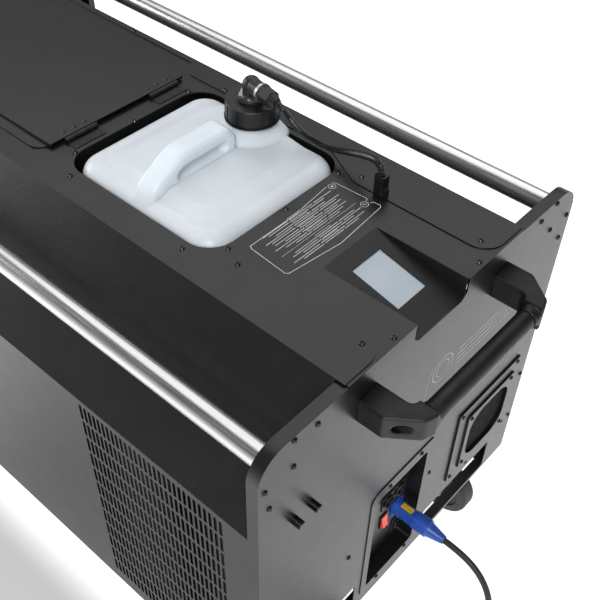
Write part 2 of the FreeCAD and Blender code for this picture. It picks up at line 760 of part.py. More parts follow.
def data_socket(y, z):
    plate = box(panel_x, panel_x + 2, y - 12.8, y + 12.8, z - 15.5, z + 15.5)
    nose = box(panel_x, panel_x + 5, y - 9, y + 9, z - 8, z + 9)
    hollow = box(panel_x + 1, panel_x + 6, y - 6.5, y + 6.5, z - 5.5, z + 6.5)
    return plate.fuse(nose).cut(hollow).removeSplitter()


rocker_x = panel_x + 1.25      # axis of the switch's pivot


def switch_bezel():
    """Frame round the switch, with a blind hole in each cheek for the pivot."""
    frame = box(panel_x, panel_x + 2.5, rocker_y - 8, rocker_y + 8, outlet_z - 14, outlet_z + 14)
    window = box(panel_x - 1, panel_x + 4, rocker_y - 6, rocker_y + 6, outlet_z - 12, outlet_z + 12)
    pivot_hole = rod((rocker_x, rocker_y - 7.3, outlet_z), (0, 1, 0), 1.05, 14.6)
    return frame.cut(window).cut(pivot_hole)


def rocker():
    """Rocker cap whose two halves tilt about a pivot in the middle."""
    x0 = panel_x + 0.6
    profile = [(x0, outlet_z - 11.3, 0), (x0 + 6.4, outlet_z - 11.3, 0.8), (x0 + 3.4, outlet_z, 0),
               (x0 + 2.6, outlet_z + 11.3, 0.8), (x0, outlet_z + 11.3, 0)]
    cap = slab([outline(profile, in_xz(rocker_y - 5.6))], (0, 11.2, 0))
    return cap.fuse(rod((rocker_x, rocker_y - 7.2, outlet_z), (0, 1, 0), 1.0, 14.4)).removeSplitter()


def power_inlet():
    plate = box(panel_x, panel_x + 2.5, outlet_y - 13, outlet_y + 13, outlet_z - 15.5, outlet_z + 15.5)
    plate = rounded(plate, 3, lambda c, e: abs(e.tangentAt(e.FirstParameter).x) > 0.9)
    return plate


plug_start = panel_x + 2.5


def power_plug():
    """Locking mains plug: front collar, body with a latch slot, and a rear nut."""
    collar = rod((plug_start, outlet_y, outlet_z), (1, 0, 0), 13.2, 9)
    body = rod((plug_start + 9, outlet_y, outlet_z), (1, 0, 0), 12.4, 22)
    nut = rod((plug_start + 31, outlet_y, outlet_z), (1, 0, 0), 13.6, 26)
    nut = rounded(nut, 1.5, lambda c, e: True)
    boot = Part.makeCone(11.5, 6.2, 26, V(plug_start + 57, outlet_y, outlet_z), V(1, 0, 0))
    slot = box(plug_start + 7, plug_start + 31, outlet_y - 4.6, outlet_y + 4.6, outlet_z + 10.4, outlet_z + 20)
    return collar.fuse([body, nut, boot]).removeSplitter().cut(slot)


def plug_latch():
    slide = box(plug_start + 7.5, plug_start + 26.5, outlet_y - 4.2, outlet_y + 4.2, outlet_z + 10.6, outlet_z + 14.4)
    return rounded(slide, 1.2, lambda c, e: c.z > outlet_z + 14)


save("connector_tray", connector_tray())
save("panel_sockets", panel_socket(-17, 293), panel_socket(9, 295), data_socket(17, 199), switch_bezel())
save("rocker_switch", rocker())
save("power_inlet", power_inlet())
save("power_plug", power_plug())
save("plug_latch", plug_latch())

# ---- mains lead: from the plug's boot to the floor and into its coil ---------------------------------

cable_start = plug_start + 83
coil_centre = (605.0, -150.0)
coil_mean = 50.0
coil_side = coil_centre[0] + coil_mean
cable_route = [(cable_start, outlet_y, outlet_z), (594, 11, 246.5), (627, 10, 232), (650, 7, 204), (661, 2, 168),
               (664, -5, 129), (663, -15, 91), (660, -31, 56), (657, -55, 27), (655.5, -86, 10),
               (coil_side, -118, 4.9), (coil_side, coil_centre[1], cable_radius)]
save("power_cord", tube("power_cord", cable_route, cable_radius))


def cord_coil():
    """Closed ring of the coil's outer shape: two layers of two turns."""
    ring = Part.makeCylinder(coil_mean + 9.5, 18.5, V(coil_centre[0], coil_centre[1], 0))
    ring = ring.cut(Part.makeCylinder(coil_mean - 9.5, 18.5, V(coil_centre[0], coil_centre[1], 0)))
    return rounded(ring, 3.5, lambda c, e: e.Length > 100)


def mains_plug():
    """Round two-pin mains plug that lies beside the coil, its boot against the coil's side."""
    x0 = coil_centre[0] - coil_mean - 3
    y0 = coil_centre[1] + 24
    boot = Part.makeCone(6, 9, 26, V(x0, y0, 18.5), V(0, 1, 0))
    body = rod((x0, y0 + 26, 18.5), (0, 1, 0), 18.5, 30)
    body = rounded(body, 3, lambda c, e: True)
    pins = [rod((x0 + side * 9.5, y0 + 56, 18.5), (0, 1, 0), 2.4, 19) for side in (-1, 1)]
    return body.fuse([boot] + pins).removeSplitter()


save("cord_coil", cord_coil())
save("mains_plug", mains_plug())

# ---- fog outlet on the front plate ---------------------------------------------------------------------


def outlet_collar():
    """Duct spigot with a flange, and crossbars inside its mouth."""
    x0 = -half_length
    flange = rod((x0 - 2.5, 0, fog_z), (1, 0, 0), fog_bore + 22, 2.5)
    spigot = rod((x0 - 30, 0, fog_z), (1, 0, 0), fog_bore + 2, 60)
    hole = rod((x0 - 31, 0, fog_z), (1, 0, 0), fog_bore, 62)
    bars = []
    for k in range(-3, 4):
        bar = rod((x0 + 20, k * 18.0, fog_z - fog_bore), (0, 0, 1), 1.5, 2 * fog_bore)
        bars.append(bar.common(hole))
    return [flange.fuse(spigot).cut(hole).removeSplitter()] + bars


save("outlet_collar", *outlet_collar())

# ---- casters ---------------------------------------------------------------------------------------------

axle_radius = 5.0
pin_radius = 6.0
fork_top = 122.5


def caster_plate(x, y):
    plate = box(x - 50, x + 50, y - 42, y + 42, caster_top - 4, caster_top)
    plate = rounded(plate, 5, lambda c, e: abs(e.tangentAt(e.FirstParameter).z) > 0.9)
    holes = [rod((x + sx * 40, y + sy * 32, caster_top - 5), (0, 0, 1), 4.2, 6) for sx in (-1, 1) for sy in (-1, 1)]
    pin = rod((x, y, 108), (0, 0, 1), pin_radius, caster_top - 108)
    return plate.cut(Part.makeCompound(holes)).fuse(pin)


def caster_fork(x, y, out):
    """Swivel fork with its axle; the wheel trails towards the near end of the machine."""
    bearing = rod((x, y, 110), (0, 0, 1), 27, fork_top - 110)
    bearing = rounded(bearing, 2, lambda c, e: c.z > fork_top - 0.1)
    crown = box(x - 24, x + 24, y - 23, y + 23, 106, 110)
    legs = []
    axle_x = x + out * wheel_trail
    for y0 in (y - 23, y + 20):
        corners = [(x - 24, 110, 0), (x - out * 0 - 24, 100, 0), (axle_x - 9, 44, 6), (axle_x + 9, 42, 6), (x + 24, 100, 0),
                   (x + 24, 110, 0)]
        if out < 0:
            corners = [(x - 24, 110, 0), (x - 24, 100, 0), (axle_x - 9, 42, 6), (axle_x + 9, 44, 6), (x + 24, 100, 0),
                       (x + 24, 110, 0)]
        legs.append(slab([outline(corners, in_xz(y0))], (0, 3, 0)))
    bore = rod((x, y, 100), (0, 0, 1), pin_radius + 0.05, 30)
    clearance = rod((axle_x, y - 30, 50), (0, 1, 0), axle_radius, 60)
    frame = bearing.fuse([crown] + legs).cut(bore).cut(clearance).removeSplitter()
    axle = rod((axle_x, y - 26, 50), (0, 1, 0), axle_radius, 52)
    return frame, axle


def caster_wheel(x, y, out):
    axle_x = x + out * wheel_trail
    tyre = rod((axle_x, y - 16, wheel_radius), (0, 1, 0), wheel_radius, 32)
    tyre = rounded(tyre, 7, lambda c, e: e.Length > 200)
    for y0 in (y - 16, y + 12):
        dish = rod((axle_x, y0, wheel_radius), (0, 1, 0), 34, 4)
        dish = dish.cut(rod((axle_x, y0, wheel_radius), (0, 1, 0), 14, 4))
        tyre = tyre.cut(dish)
    hub = rod((axle_x, y - 19, wheel_radius), (0, 1, 0), 10, 38)
    return tyre.fuse(hub).cut(rod((axle_x, y - 20, wheel_radius), (0, 1, 0), axle_radius + 0.06, 40)).removeSplitter()


caster_places = {"rear_right": (caster_x, caster_y, 1), "rear_left": (caster_x, -caster_y, 1),
                 "front_right": (-caster_x, caster_y, -1), "front_left": (-caster_x, -caster_y, -1)}
save("caster_plates", *[caster_plate(x, y) for x, y, out in caster_places.values()])
for place, (px, py, out) in caster_places.items():
    save("caster_fork_" + place, *caster_fork(px, py, out))
    save("caster_wheel_" + place, caster_wheel(px, py, out))

# ---- inside -------------------------------------------------------------------------------------------------

floor_z = plate_bottom + 5


def compressor():
    shell = rod((60, -160, floor_z + 8), (0, 0, 1), 72, 140)
    shell = rounded(shell, 22, lambda c, e: e.Length > 300)
    feet = box(-30, 150, -235, -85, floor_z, floor_z + 8)
    port = rod((60, -160, floor_z + 140), (0, 0, 1), 6, 20)
    return shell.fuse([feet, port]).removeSplitter()


def condenser():
    """Finned block behind the grille with two header pipes."""
    core = box(216, 440, -288, -254, 165, 525)
    fins = [box(218 + 8 * k, 222 + 8 * k, -289, -284, 168, 522) for k in range(28)]
    pipes = [rod((x, -271, 150), (0, 0, 1), 6, 390) for x in (210, 446)]
    return core.cut(Part.makeCompound(fins)), pipes[0], pipes[1]


def fog_chamber():
    """Insulated box that leads to the outlet collar."""
    outer = box(-470, -80, -205, 205, floor_z, 540)
    inner = box(-455, -95, -190, 190, floor_z + 15, 525)
    mouth = rod((-475, 0, fog_z), (1, 0, 0), fog_bore + 3, 30)
    inlet = rod((-100, 60, 420), (1, 0, 0), 22, 30)
    return outer.cut(inner).cut(mouth).cut(inlet)


def evaporator():
    """Three rows of straight tubes between two end sheets."""
    ends = [box(-400, -170, y, y + 2, 200, 460) for y in (-152, 150)]
    pipes = [rod((x, -160, z), (0, 1, 0), 6, 320) for x in (-370, -285, -200) for z in (230, 280, 330, 380, 430)]
    return ends[0].fuse([ends[1]] + pipes)


def heater():
    block = rounded(box(285, 380, -60, 30, 140, 215), 8, lambda c, e: abs(e.tangentAt(e.FirstParameter).x) > 0.9)
    nozzle = rod((225, -15, 178), (1, 0, 0), 7, 62)
    feet = box(290, 375, -50, 20, floor_z, 140)
    return block.fuse([nozzle, feet]).removeSplitter()


def pump():
    body = rod((300, 90, 160), (1, 0, 0), 24, 62)
    head = box(362, 382, 66, 114, 136, 184)
    foot = box(305, 380, 72, 108, floor_z, 138)
    return body.fuse([head, foot]).removeSplitter()


def control_board():
    board = box(290, 460, -190, -188, 400, 600)
    blocks = [box(300 + 40 * k, 330 + 40 * k, -188, -170, 430 + 30 * k, 470 + 30 * k) for k in range(4)]
    return [board] + blocks


save("compressor", compressor())
save("condenser", *condenser())
save("condenser_fan", placed(rotor(100, 32, 30, 5, 30), (328, -215, 345), (0, -1, 0)))
save("fog_chamber", fog_chamber(), evaporator())
save("heater_block", heater())
save("fluid_pump", pump())
save("control_board", *control_board())

# ---- fasteners ------------------------------------------------------------------------------------------------

deck_screws = [(-13, 0), (-14, 101), (-14, -101), (264, 100), (264, -100), (264, 0), (492, 81), (492, -81)]
flange_screws = [(23, 138), (226, 137), (292, 113), (473, 112), (-200, 162.5), (-400, 162.5)]
ear_screws = [(213, 673), (248, 681), (248, 638), (290, 638), (283.5, 603)]
rear_screws = [(291, 319), (291, 216), (167, 213), (50, 309), (-130, 307), (-150, 213), (-291, 319), (-291, 216)]


def body_screws():
    screws = [button_screw((x, y, cover_z), (0, 0, 1)) for x, y in deck_screws]
    for x, y in flange_screws:
        screws += [button_screw((x, side * y, deck_top), (0, 0, 1)) for side in (-1, 1)]
    for y, z in ear_screws:
        for side in (-1, 1):
            screws.append(button_screw((half_length, side * y, z), (1, 0, 0)))
            screws.append(button_screw((-half_length, side * y, z), (-1, 0, 0)))
    screws += [button_screw((half_length, y, z), (1, 0, 0)) for y, z in rear_screws]
    for depth, reach, shift in ((step_depth, 72, outer_shift), (2 * step_depth, 52.5, (0, 0))):
        for sy in (-1, 1):
            for sz in (-1, 1):
                y = exhaust_y + shift[0] + sy * reach
                z = exhaust_z + shift[1] + sz * reach
                screws.append(button_screw((half_length + depth, y, z), (1, 0, 0), 3.6))
    for y, z in ((15, 392.5), (-54, 390.5), (15, 157), (-54, 157)):
        screws.append(button_screw((half_length + thin, y, z), (1, 0, 0), 3.6))
    return screws


def socket_bolts():
    """Handle bolts, the rail-end bolts on the frames' corners and two round buffers."""
    bolt = handle_bolt()
    pair = [bolt, mirrored_y(bolt)]
    bolts = pair + [mirrored_x(one) for one in pair]
    for y in (-217, -245):
        bolts.append(rounded(rod((half_length, y, 538), (1, 0, 0), 5.5, 13), 1.2, lambda c, e: c.x > half_length + 1))
    return bolts


save("body_screws", *body_screws())
save("socket_bolts", *socket_bolts())
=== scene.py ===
import bpy
import bmesh
import math
from mathutils import Matrix, Vector


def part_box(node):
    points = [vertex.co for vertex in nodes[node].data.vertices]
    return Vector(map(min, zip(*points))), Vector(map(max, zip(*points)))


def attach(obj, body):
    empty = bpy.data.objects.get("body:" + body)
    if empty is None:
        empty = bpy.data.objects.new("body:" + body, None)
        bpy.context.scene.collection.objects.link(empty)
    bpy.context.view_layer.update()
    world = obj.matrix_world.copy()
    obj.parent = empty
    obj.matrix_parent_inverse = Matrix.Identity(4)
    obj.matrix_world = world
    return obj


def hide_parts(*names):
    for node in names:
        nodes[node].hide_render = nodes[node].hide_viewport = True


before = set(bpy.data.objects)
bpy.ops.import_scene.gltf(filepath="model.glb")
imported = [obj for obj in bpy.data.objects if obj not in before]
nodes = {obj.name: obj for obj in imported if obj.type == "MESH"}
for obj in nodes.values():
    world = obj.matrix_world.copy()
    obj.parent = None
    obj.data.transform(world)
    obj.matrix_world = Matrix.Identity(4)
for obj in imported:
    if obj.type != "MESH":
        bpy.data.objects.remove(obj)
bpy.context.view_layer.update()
scene = bpy.context.scene
scene.view_settings.view_transform = "Standard"

# ---- camera: an elevated three-quarter view of the connector end -----------------------------

AZIMUTH = math.radians(40.19)
ELEVATION = math.radians(44.64)
ROLL = math.radians(1.861)
CAMERA_POSITION = (0.840, -0.6492, 1.390)
FOCAL_LENGTH = 54.57           # for a sensor 36 mm wide
forward = Vector((-math.sin(AZIMUTH) * math.cos(ELEVATION),
                  math.cos(AZIMUTH) * math.cos(ELEVATION), -math.sin(ELEVATION)))
level_right = Vector((math.cos(AZIMUTH), math.sin(AZIMUTH), 0))
level_up = level_right.cross(forward)
right = level_right * math.cos(ROLL) + level_up * math.sin(ROLL)
up = right.cross(forward)
camera_data = bpy.data.cameras.new("camera")
camera_data.sensor_width = 36
camera_data.lens = FOCAL_LENGTH
camera_data.clip_start = 0.02
camera = bpy.data.objects.new("camera", camera_data)
turn = Matrix((right, up, -forward)).transposed().to_4x4()
camera.matrix_world = Matrix.Translation(CAMERA_POSITION) @ turn
scene.collection.objects.link(camera)
scene.camera = camera

# ---- materials -------------------------------------------------------------------------------

WIDE, NARROW = (0.3, 0.7), (0.35, 0.65)     # how much of a noise pattern's range a ramp uses


class Surface:
    """A node material with short calls for the parts that repeat."""

    def __init__(self, name):
        self.material = bpy.data.materials.new(name)
        self.material.use_nodes = True
        self.tree = self.material.node_tree
        self.shader = self.tree.nodes["Principled BSDF"]
        self.coordinates = self.tree.nodes.new("ShaderNodeTexCoord")

    def set(self, **values):
        """Sets the shader's own sockets; an underscore stands for a space in a name."""
        for name, value in values.items():
            self.shader.inputs[name.replace("_", " ")].default_value = value

    def noise(self, scale, detail=2.0, stretch=(1, 1, 1)):
        """A noise pattern fixed to the piece, in metres, stretched along its axes."""
        mapping = self.tree.nodes.new("ShaderNodeMapping")
        mapping.inputs["Scale"].default_value = stretch
        texture = self.tree.nodes.new("ShaderNodeTexNoise")
        texture.inputs["Scale"].default_value = scale
        texture.inputs["Detail"].default_value = detail
        self.tree.links.new(self.coordinates.outputs["Object"], mapping.inputs["Vector"])
        self.tree.links.new(mapping.outputs["Vector"], texture.inputs["Vector"])
        return texture.outputs["Fac"]

    def ramp(self, source, low, high, target, at=WIDE):
        """Maps the source's range onto a socket, as colours or as plain numbers."""
        if isinstance(low, (int, float)):
            node = self.tree.nodes.new("ShaderNodeMapRange")
            node.inputs["From Min"].default_value, node.inputs["From Max"].default_value = at
            node.inputs["To Min"].default_value = low
            node.inputs["To Max"].default_value = high
            self.tree.links.new(source, node.inputs["Value"])
            self.tree.links.new(node.outputs["Result"], self.shader.inputs[target])
        else:
            node = self.tree.nodes.new("ShaderNodeValToRGB")
            node.color_ramp.elements[0].position, node.color_ramp.elements[1].position = at
            node.color_ramp.elements[0].color = (*low, 1)
            node.color_ramp.elements[1].color = (*high, 1)
            self.tree.links.new(source, node.inputs["Fac"])
            self.tree.links.new(node.outputs["Color"], self.shader.inputs[target])

    def soften(self, radius):
        """Shades the edges as if they were rounded; comes before the first bump."""
        node = self.tree.nodes.new("ShaderNodeBevel")
        node.samples = 6
        node.inputs["Radius"].default_value = radius
        self.tree.links.new(node.outputs["Normal"], self.shader.inputs["Normal"])

    def bump(self, source, strength, distance):
        """Adds a bump on top of any earlier one."""
        node = self.tree.nodes.new("ShaderNodeBump")
        node.inputs["Strength"].default_value = strength
        node.inputs["Distance"].default_value = distance
        earlier = self.shader.inputs["Normal"]
        if earlier.is_linked:
            self.tree.links.new(earlier.links[0].from_socket, node.inputs["Normal"])
        self.tree.links.new(source, node.inputs["Height"])
        self.tree.links.new(node.outputs["Normal"], self.shader.inputs["Normal"])


def powder_coat(name, dark, light, roughness):
    """Satin black powder coat: fine orange peel and slight wear in the gloss."""
    surface = Surface(name)
    surface.ramp(surface.noise(14, 4), dark, light, "Base Color", NARROW)
    surface.ramp(surface.noise(45, 5), roughness - 0.012, roughness + 0.012, "Roughness", NARROW)
    surface.bump(surface.noise(420, 3), 0.4, 0.0006)
    return surface.material


def moulded(name, dark, light, roughness, grain=700, depth=0.25, edge=0, **values):
    """Moulded plastic: fine spark-eroded grain and slightly uneven gloss."""
    surface = Surface(name)
    if edge:
        surface.soften(edge)
    surface.set(**values)
    surface.ramp(surface.noise(30, 3), dark, light, "Base Color", NARROW)
    surface.ramp(surface.noise(70, 3), roughness - 0.05, roughness + 0.05, "Roughness", NARROW)
    surface.bump(surface.noise(grain, 2), depth, 0.0003)
    return surface.material


def metal(name, dark, light, roughness, stretch, grain, depth=0.1):
    """Bare metal with polishing or rolling marks along one direction."""
    surface = Surface(name)
    surface.set(Metallic=1.0)
    surface.ramp(surface.noise(60, 4, stretch), dark, light, "Base Color")
    surface.ramp(surface.noise(grain, 4, stretch), roughness * 0.7, roughness * 1.3, "Roughness")
    surface.bump(surface.noise(grain, 3, stretch), depth, 0.0002)
    return surface.material


def grey(level):
    """A neutral colour with a trace of blue."""
    return (level, level, level * 1.02)


black_coat = powder_coat("black_coat", grey(0.0035), grey(0.006), 0.33)
dark_coat = powder_coat("dark_coat", grey(0.002), grey(0.003), 0.5)
black_plastic = moulded("black_plastic", grey(0.003), grey(0.006), 0.4)
handle_plastic = moulded("handle_plastic", grey(0.003), grey(0.006), 0.45, 500, 0.3, 0.004,
                         Specular_IOR_Level=0.36)
soft_black = moulded("soft_black", grey(0.008), grey(0.014), 0.55)
conduit_black = moulded("conduit_black", grey(0.003), grey(0.006), 0.3)
black_screw = metal("black_screw", grey(0.03), grey(0.06), 0.32, (1, 1, 1), 500)
rail_metal = metal("rail_metal", grey(0.6), grey(0.74), 0.26, (0.02, 1, 1), 900, 0.05)
aluminium = metal("aluminium", grey(0.5), grey(0.62), 0.35, (1, 1, 0.1), 700)
zinc = metal("zinc", grey(0.42), grey(0.55), 0.34, (1, 1, 1), 90)
foam = moulded("foam", grey(0.002), grey(0.006), 0.95, 900, 1.0, Specular_IOR_Level=0.2)
wheel_rubber = moulded("wheel_rubber", grey(0.02), grey(0.035), 0.62, 400)
blue_plastic = moulded("blue_plastic", (0.012, 0.06, 0.33), (0.02, 0.085, 0.42), 0.34)
yellow_plastic = moulded("yellow_plastic", (0.5, 0.3, 0.012), (0.6, 0.38, 0.02), 0.4)
print_ink = moulded("print_ink", grey(0.42), grey(0.55), 0.6)
insulation = moulded("insulation", grey(0.04), grey(0.06), 0.9, 300, 0.6)
circuit = moulded("circuit", (0.01, 0.06, 0.025), (0.02, 0.1, 0.04), 0.4)
clear_tube = moulded("clear_tube", (0.6, 0.65, 0.62), (0.7, 0.74, 0.7), 0.2)

can_surface = Surface("can_plastic")
can_surface.set(Subsurface_Weight=0.35, Subsurface_Radius=(0.02, 0.022, 0.022),
                Subsurface_Scale=1.0, IOR=1.5)
can_surface.soften(0.006)
can_surface.ramp(can_surface.noise(9, 3), (0.63, 0.7, 0.76), (0.73, 0.79, 0.84), "Base Color")
can_surface.ramp(can_surface.noise(40, 4), 0.3, 0.42, "Roughness")
can_surface.bump(can_surface.noise(26, 2), 0.25, 0.002)
can_surface.bump(can_surface.noise(500, 2), 0.12, 0.0003)
can_plastic = can_surface.material

lit_red = moulded("lit_red", (0.5, 0.012, 0.008), (0.6, 0.02, 0.012), 0.25,
                  Emission_Color=(1, 0.06, 0.03, 1), Emission_Strength=0.45)

screen_surface = Surface("screen_glass")
screen_surface.set(Coat_Weight=0.6, Coat_Roughness=0.05)
screen_surface.ramp(screen_surface.noise(16, 2, (1, 0.4, 1)),
                    (0.27, 0.33, 0.39), (0.36, 0.41, 0.46), "Base Color")
screen_surface.ramp(screen_surface.noise(30, 2), 0.2, 0.3, "Roughness")
screen_glass = screen_surface.material

wear = {
    black_coat: ("base_tray", "rear_end_plate", "front_end_plate", "end_frames", "centre_deck",
                 "left_sloped_cover", "right_sloped_cover", "left_side_panel", "right_side_panel",
                 "lid_frame", "lid", "exhaust_outer_plate", "exhaust_inner_plate",
                 "connector_tray", "can_well"),
    dark_coat: ("display_ramp", "lid_hinges", "lid_hinge_leaves", "compressor", "condenser"),
    handle_plastic: ("handle_brackets", "grip_bars"),
    black_plastic: ("cap_insert", "cap_ring", "suction_elbow", "gland_nut", "deck_clip",
                    "exhaust_fan_rotor", "condenser_fan", "panel_sockets", "mains_plug"),
    soft_black: ("conduit", "power_cord", "cord_coil", "fluid_pump"),
    foam: ("exhaust_fan_housing",),
    black_screw: ("body_screws", "socket_bolts"),
    rail_metal: ("side_rails",),
    aluminium: ("heater_block", "outlet_collar"),
    zinc: ("lock_nuts", "caster_plates", "caster_fork_rear_right", "caster_fork_rear_left",
           "caster_fork_front_right", "caster_fork_front_left"),
    wheel_rubber: ("caster_wheel_rear_right", "caster_wheel_rear_left",
                   "caster_wheel_front_right", "caster_wheel_front_left"),
    blue_plastic: ("power_plug", "power_inlet"),
    yellow_plastic: ("plug_latch",),
    lit_red: ("rocker_switch",),
    screen_glass: ("display_screen",),
    can_plastic: ("jerry_can",),
    clear_tube: ("pickup_tube",),
    insulation: ("fog_chamber",),
    circuit: ("control_board",),
}
for material, names in wear.items():
    for name in names:
        node = nodes[name]
        node.data.materials.clear()
        node.data.materials.append(material)

# ---- building helpers ------------------------------------------------------------------------

MM = 0.001


def metres(points):
    """Points in millimetres turned into metres."""
    return [tuple(value * MM for value in point) for point in points]


def add(name, mesh, material, body):
    """Puts a finished mesh in the scene and on a body."""
    piece = bpy.data.objects.new(name, mesh)
    scene.collection.objects.link(piece)
    mesh.materials.append(material)
    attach(piece, body)
    return piece


def nurbs(name, points, radius):
    """A curve whose control points are the points given, in metres, as a smooth open spline."""
    data = bpy.data.curves.new(name, "CURVE")
    data.dimensions = "3D"
    spline = data.splines.new("NURBS")
    spline.points.add(len(points) - 1)
    for target, point in zip(spline.points, points):
        target.co = (*point, 1)
    spline.order_u = 3
    spline.use_endpoint_u = True
    spline.resolution_u = 8
    data.bevel_depth = radius
    data.bevel_resolution = 5
    return data


def centre_line(data):
    """Points along a curve, read from the curve with its bevel taken off."""
    bare = data.copy()
    bare.bevel_depth = 0
    holder = bpy.data.objects.new("line", bare)
    scene.collection.objects.link(holder)
    bpy.context.view_layer.update()
    mesh = bpy.data.meshes.new_from_object(holder)
    points = [v.co.copy() for v in mesh.vertices]
    bpy.data.objects.remove(holder)
    return points


def evenly(points, step):
    """The same line resampled at even distances, with its directions."""
    lengths = [0.0]
    for a, b in zip(points, points[1:]):
        lengths.append(lengths[-1] + (b - a).length)
    count = max(2, round(lengths[-1] / step))
    made = []
    k = 0
    for i in range(count + 1):
        want = lengths[-1] * i / count
        while k < len(points) - 2 and lengths[k + 1] < want:
            k += 1
        share = (want - lengths[k]) / max(lengths[k + 1] - lengths[k], 1e-9)
        way = (points[k + 1] - points[k]).normalized()
        made.append((points[k].lerp(points[k + 1], share), way))
    return made


def ringed_tube(name, stations, sides):
    """A closed tube through (centre, direction, radius) stations."""
    mesh = bmesh.new()
    rings = []
    side = stations[0][1].orthogonal().normalized()
    for centre, direction, radius in stations:
        side = (side - direction * side.dot(direction)).normalized()
        other = direction.cross(side)
        ring = []
        for k in range(sides):
            angle = 2 * math.pi * k / sides
            off = (side * math.cos(angle) + other * math.sin(angle)) * radius
            ring.append(mesh.verts.new(centre + off))
        rings.append(ring)
    for first, second in zip(rings, rings[1:]):
        for k in range(sides):
            mesh.faces.new((first[k], first[(k + 1) % sides], second[(k + 1) % sides], second[k]))
    mesh.faces.new(list(reversed(rings[0])))
    mesh.faces.new(rings[-1])
    data = bpy.data.meshes.new(name)
    mesh.to_mesh(data)
    mesh.free()
    return data


# ---- mains lead: hangs from the plug to the floor, the rest in a coil by the machine ---------

CABLE_RADIUS = 0.0045                       # in metres; the rest of the lead is in millimetres
COIL_X, COIL_Y = 605, -150                  # the middle of the coil
hanging = [(564, 11, 247), (594, 11, 246.5), (627, 10, 232), (650, 7, 204), (661, 2, 168),
           (664, -5, 129), (663, -15, 91), (660, -31, 56), (657.5, -55, 27), (658, -86, 10),
           (659.5, -118, 4.9)]
LANE_OUT, LANE_IN = 55.5, 46.3              # radii of the coil's two lanes
LOW_LAYER, HIGH_LAYER = 4.6, 13.7           # heights of its two layers
TURNS = 3.5
PER_TURN = 16                               # control points in one turn
# The turns between which the coil goes in a lane, up a layer and back out again.
GO_IN, GO_UP, GO_OUT = (0.6, 0.95), (1.6, 1.95), (2.62, 2.95)


def eased(t, start, end, before, after):
    """A soft step from one value to another while t goes from start to end."""
    share = min(max((t - start) / (end - start), 0), 1)
    share = share * share * (3 - 2 * share)
    return before + (after - before) * share


coil_turns = []
for k in range(int(TURNS * PER_TURN) + 1):
    t = k / PER_TURN
    if t < GO_OUT[0]:
        lane = eased(t, *GO_IN, LANE_OUT, LANE_IN)
    else:
        lane = eased(t, *GO_OUT, LANE_IN, LANE_OUT)
    height = eased(t, *GO_UP, LOW_LAYER, HIGH_LAYER)
    angle = -2 * math.pi * t
    coil_turns.append((COIL_X + lane * math.cos(angle), COIL_Y + lane * math.sin(angle), height))
# The last stretch rises from the coil to the plug that lies on it.
tail = [(COIL_X - LANE_OUT, COIL_Y + 9, 14.6), (COIL_X - 54.5, COIL_Y + 18, 17),
        (COIL_X - 53, COIL_Y + 28, 18.5)]
lead_data = nurbs("mains_lead", metres(hanging + coil_turns + tail), CABLE_RADIUS)
lead = bpy.data.objects.new("mains_lead", lead_data)
scene.collection.objects.link(lead)
lead_data.materials.append(soft_black)
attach(lead, "body")
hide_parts("power_cord", "cord_coil")

# ---- corrugated conduit from the cap to the deck ---------------------------------------------

conduit_route = [(180.9, 74.93, 766), (190.5, 73, 765), (197, 76.5, 755), (199.5, 84.5, 741),
                 (203, 94.5, 727), (210, 104.5, 714), (222, 113, 706), (238.5, 117.7, 704.5),
                 (259, 119.5, 709.5), (281, 117, 718), (300, 112.3, 725.5), (315, 108, 730),
                 (326, 104.3, 727.5), (330, 103, 718)]
RIB = (0.0047, 0.0046, 0.0035, 0.0035)      # radii along one rib and the groove after it
RIB_STEP = 0.0009                           # distance between those radii
conduit_data = nurbs("conduit_line", metres(conduit_route), 0)
stations = [(point, direction, RIB[index % len(RIB)])
            for index, (point, direction) in enumerate(evenly(centre_line(conduit_data), RIB_STEP))]
conduit = add("corrugated_conduit", ringed_tube("corrugated_conduit", stations, 16),
              conduit_black, "body")
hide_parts("conduit")

# ---- prints: a panel of plain bars on the deck and a round mark on the end plate -------------

PRINT_LIFT = 0.00015                        # how far a print lies above its sheet
DECK_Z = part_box("centre_deck")[1].z + PRINT_LIFT
MITRE_LIMIT = 0.4                           # cosine; a sharper corner gets no longer a mitre


def strip(mesh, points, width, z, closed=False):
    """A flat mitred ribbon along (x, y) points, with its width, in millimetres, at z in metres."""
    line = [Vector((x * MM, y * MM, z)) for x, y in points]
    count = len(line)
    rails = []
    for i, here in enumerate(line):
        before = line[i - 1] if i or closed else None
        after = line[(i + 1) % count] if i < count - 1 or closed else None
        ways = [(b - a).normalized() for a, b in ((before, here), (here, after))
                if a is not None and b is not None]
        way = sum(ways, Vector()).normalized()
        reach = width * MM / 2 / max(way.dot(ways[0]), MITRE_LIMIT)
        off = Vector((-way.y, way.x, 0)) * reach
        rails.append([mesh.verts.new(here + off * sign) for sign in (1, -1)])
    spans = list(zip(rails, rails[1:])) + ([(rails[-1], rails[0])] if closed else [])
    for (a, b), (c, d) in spans:
        mesh.faces.new((a, b, d, c))


def ring_points(x, y, radius, count=28):
    """The (x, y) corners of a circle drawn with straight sides."""
    turns = [2 * math.pi * k / count for k in range(count)]
    return [(x + radius * math.cos(turn), y + radius * math.sin(turn)) for turn in turns]


def printed(name, mesh):
    """The finished mesh of a print, facing upwards."""
    data = bpy.data.meshes.new(name)
    mesh.normal_update()
    for face in mesh.faces:
        if face.normal.z < 0:
            face.normal_flip()
    mesh.to_mesh(data)
    mesh.free()
    return data


